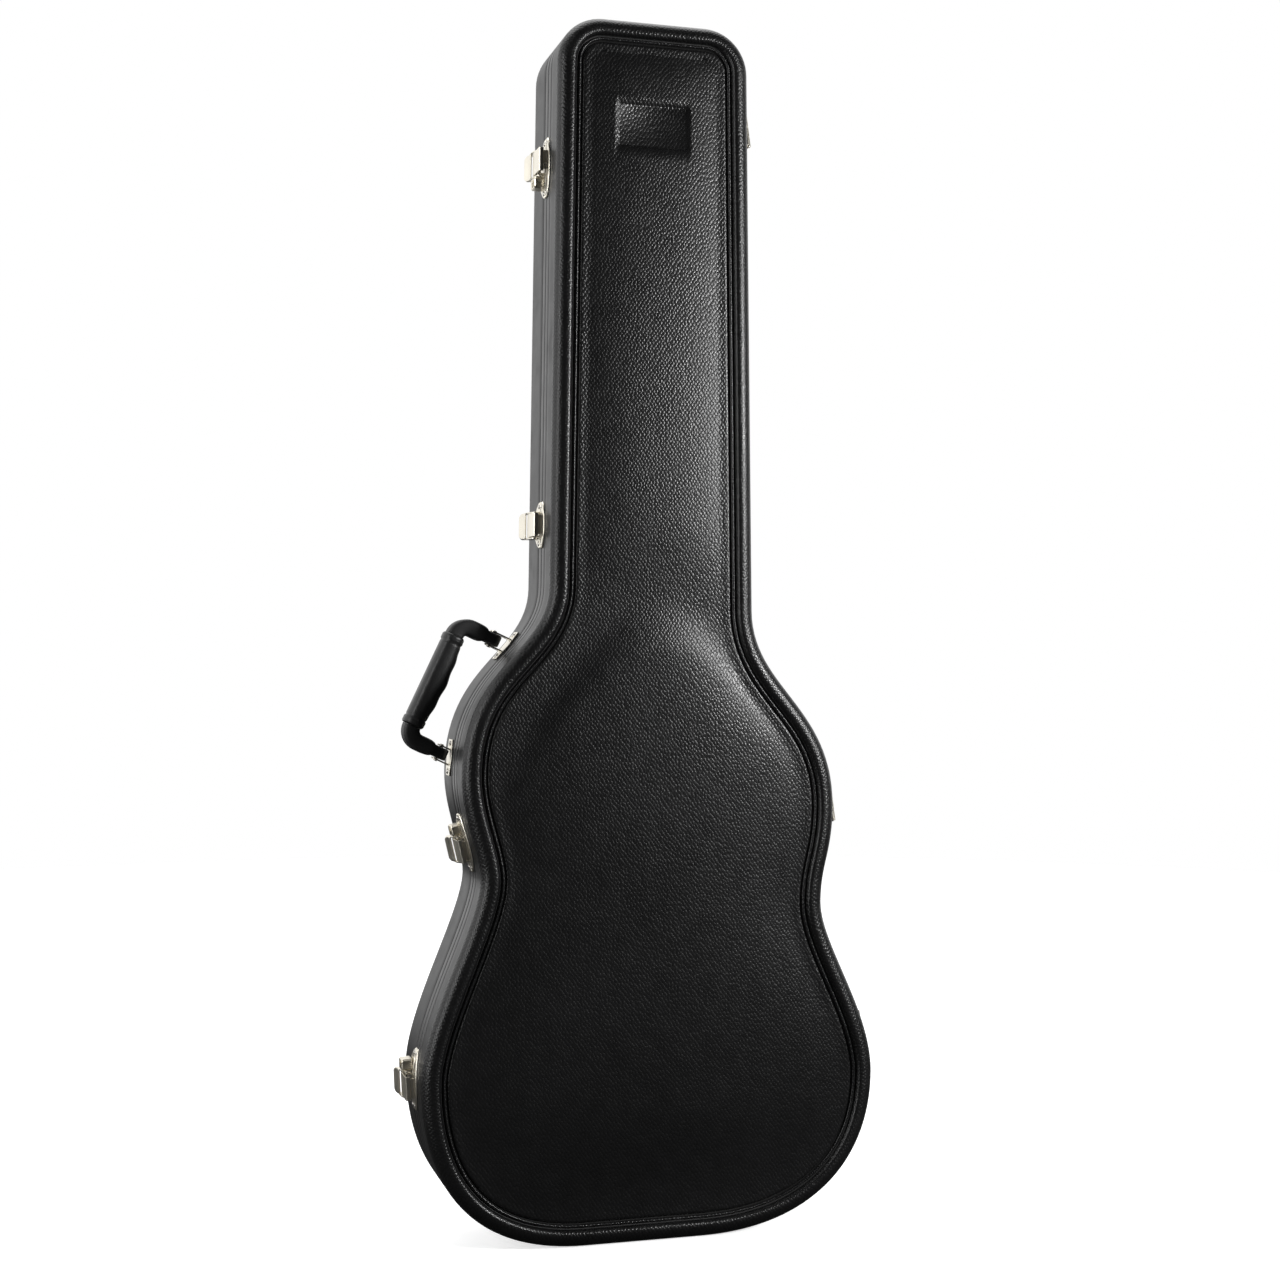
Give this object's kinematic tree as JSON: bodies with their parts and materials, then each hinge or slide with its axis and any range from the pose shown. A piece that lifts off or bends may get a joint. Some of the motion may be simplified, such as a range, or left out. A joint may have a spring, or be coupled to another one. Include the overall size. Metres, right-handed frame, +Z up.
{
  "type": "guitar_case",
  "caption": "Black moulded hard-shell electric guitar case standing on its butt end, pebble-grained ribbed lid, pale metal draw latches and hinges, side handle, padded interior",
  "frame": {"origin": "Middle of the base shell's flat underside, the face the case stands on, 14 mm behind the seam between lid and base", "axes": "+Z up along the case from butt end to head end, -Y out of the lid, +X towards the hinges and -X towards the latches and handle"},
  "size_m": [0.4338, 0.1145, 1.07],
  "materials": {
    "shell": "satin",
    "valance": "satin",
    "hardware": "satin",
    "pin": "satin",
    "grip": "satin",
    "strap": "matte",
    "plush": "matte",
    "tab": "matte"
  },
  "bodies": {
    "base": {"base_shell": "shell", "base_valance": "valance", "base_liner": "plush", "neck_cradle": "plush", "accessory_box": "plush", "hinge_lower_base_leaf": "hardware", "hinge_lower_pin": "pin", "hinge_upper_base_leaf": "hardware", "hinge_upper_pin": "pin", "hinge_head_base_leaf": "hardware", "hinge_head_pin": "pin", "latch_1_plate": "hardware", "latch_1_pin": "pin", "latch_1_rivet_a": "hardware", "latch_1_rivet_b": "hardware", "latch_1_lock": "hardware", "latch_2_plate": "hardware", "latch_2_pin": "pin", "latch_2_rivet_a": "hardware", "latch_2_rivet_b": "hardware", "latch_3_plate": "hardware", "latch_3_pin": "pin", "latch_3_rivet_a": "hardware", "latch_3_rivet_b": "hardware", "latch_3_lock": "hardware", "latch_4_plate": "hardware", "latch_4_pin": "pin", "latch_4_rivet_a": "hardware", "latch_4_rivet_b": "hardware", "latch_4_lock": "hardware", "handle_top_bracket": "hardware", "handle_top_pin": "pin", "handle_bottom_bracket": "hardware", "handle_bottom_pin": "pin"},
    "lid": {"lid_shell": "shell", "lid_valance": "valance", "lid_liner": "plush", "hinge_lower_lid_leaf": "hardware", "hinge_upper_lid_leaf": "hardware", "hinge_head_lid_leaf": "hardware", "latch_1_keeper": "hardware", "latch_2_keeper": "hardware", "latch_3_keeper": "hardware", "latch_4_keeper": "hardware"},
    "handle": {"handle_strap": "strap", "handle_grip": "grip"},
    "flap": {"accessory_flap": "plush", "flap_tab": "tab"},
    "latch_1_lever_body": {"latch_1_lever": "hardware"},
    "latch_1_hook_body": {"latch_1_hook": "hardware"},
    "latch_1_key_plug_body": {"latch_1_key_plug": "hardware"},
    "latch_2_lever_body": {"latch_2_lever": "hardware"},
    "latch_2_hook_body": {"latch_2_hook": "hardware"},
    "latch_3_lever_body": {"latch_3_lever": "hardware"},
    "latch_3_hook_body": {"latch_3_hook": "hardware"},
    "latch_3_key_plug_body": {"latch_3_key_plug": "hardware"},
    "latch_4_lever_body": {"latch_4_lever": "hardware"},
    "latch_4_hook_body": {"latch_4_hook": "hardware"},
    "latch_4_key_plug_body": {"latch_4_key_plug": "hardware"}
  },
  "joints": [
    {"name": "lid_hinge", "type": "hinge", "parent": "base", "child": "lid", "pos_m": [0.21083, -0.014, 0.16232], "axis": [-0.1351, 0, 0.9908], "range_deg": [0, 110]},
    {"name": "handle_swing", "type": "hinge", "parent": "base", "child": "handle", "pos_m": [-0.15516, 0.012, 0.47731], "axis": [0.4262, 0, 0.9046], "range_deg": [-55, 55]},
    {"name": "accessory_flap_hinge", "type": "hinge", "parent": "base", "child": "flap", "pos_m": [-0.0276, 0.014, 0.81], "axis": [0, 0, -1], "range_deg": [0, 85]},
    {"name": "latch_1_lever_hinge", "type": "hinge", "parent": "base", "child": "latch_1_lever_body", "pos_m": [-0.09284, -0.0065, 0.95006], "axis": [0.0125, 0, 0.9999], "range_deg": [0, 100]},
    {"name": "latch_1_hook_hinge", "type": "hinge", "parent": "latch_1_lever_body", "child": "latch_1_hook_body", "pos_m": [-0.09534, 0.002, 0.95009], "axis": [0.0125, 0, 0.9999], "range_deg": [-100, 0]},
    {"name": "latch_1_key_turn", "type": "hinge", "parent": "base", "child": "latch_1_key_plug_body", "pos_m": [-0.09586, -0.0015, 0.9324], "axis": [-0.9999, 0, 0.0125], "range_deg": [0, 90]},
    {"name": "latch_2_lever_hinge", "type": "hinge", "parent": "base", "child": "latch_2_lever_body", "pos_m": [-0.09686, -0.0065, 0.62806], "axis": [0.0125, 0, 0.9999], "range_deg": [0, 100]},
    {"name": "latch_2_hook_hinge", "type": "hinge", "parent": "latch_2_lever_body", "child": "latch_2_hook_body", "pos_m": [-0.09936, 0.002, 0.62809], "axis": [0.0125, 0, 0.9999], "range_deg": [-100, 0]},
    {"name": "latch_3_lever_hinge", "type": "hinge", "parent": "base", "child": "latch_3_lever_body", "pos_m": [-0.16173, -0.0065, 0.34285], "axis": [-0.2293, 0, 0.9734], "range_deg": [0, 100]},
    {"name": "latch_3_hook_hinge", "type": "hinge", "parent": "latch_3_lever_body", "child": "latch_3_hook_body", "pos_m": [-0.16416, 0.002, 0.34228], "axis": [-0.2293, 0, 0.9734], "range_deg": [-100, 0]},
    {"name": "latch_3_key_turn", "type": "hinge", "parent": "base", "child": "latch_3_key_plug_body", "pos_m": [-0.16851, -0.0015, 0.35944], "axis": [-0.9734, 0, -0.2293], "range_deg": [0, 90]},
    {"name": "latch_4_lever_hinge", "type": "hinge", "parent": "base", "child": "latch_4_lever_body", "pos_m": [-0.20811, -0.0065, 0.13976], "axis": [-0.0477, 0, 0.9989], "range_deg": [0, 100]},
    {"name": "latch_4_hook_hinge", "type": "hinge", "parent": "latch_4_lever_body", "child": "latch_4_hook_body", "pos_m": [-0.21061, 0.002, 0.13964], "axis": [-0.0477, 0, 0.9989], "range_deg": [-100, 0]},
    {"name": "latch_4_key_turn", "type": "hinge", "parent": "base", "child": "latch_4_key_plug_body", "pos_m": [-0.21175, -0.0015, 0.15731], "axis": [-0.9989, 0, -0.0477], "range_deg": [0, 90]}
  ],
  "couplings": [
    {"joint": "latch_1_hook_hinge", "follows": "latch_1_lever_hinge", "ratio": -1},
    {"joint": "latch_2_hook_hinge", "follows": "latch_2_lever_hinge", "ratio": -1},
    {"joint": "latch_3_hook_hinge", "follows": "latch_3_lever_hinge", "ratio": -1},
    {"joint": "latch_4_hook_hinge", "follows": "latch_4_lever_hinge", "ratio": -1}
  ]
}
